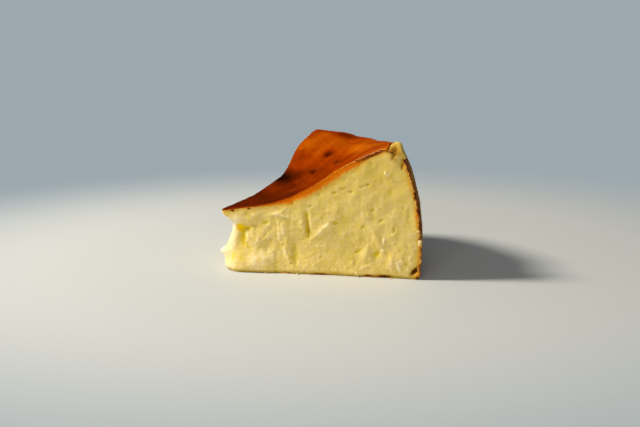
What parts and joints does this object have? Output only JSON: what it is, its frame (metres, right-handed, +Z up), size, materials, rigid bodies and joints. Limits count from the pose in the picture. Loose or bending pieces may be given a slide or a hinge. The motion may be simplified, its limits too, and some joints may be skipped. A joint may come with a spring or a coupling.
{
  "type": "slice of cheesecake",
  "caption": "Wedge of tall baked cheesecake with a sunken, glossy dark-brown top, a rounded rim, a browned creased side and pale, soft cut faces with a torn tip.",
  "frame": {"origin": "on the flat base, under the middle of the slice's box", "axes": "+X along the front cut face from the tip to the browned side wall, +Y from the front cut face towards the rear one, +Z up"},
  "size_m": [0.0782, 0.0754, 0.0494],
  "materials": {
    "baked_cream": "moist, soft, pale yellow filling with a glossy browned top skin and a matte browned side"
  },
  "bodies": {
    "root": {"cheesecake_slice": "baked_cream"}
  },
  "joints": []
}
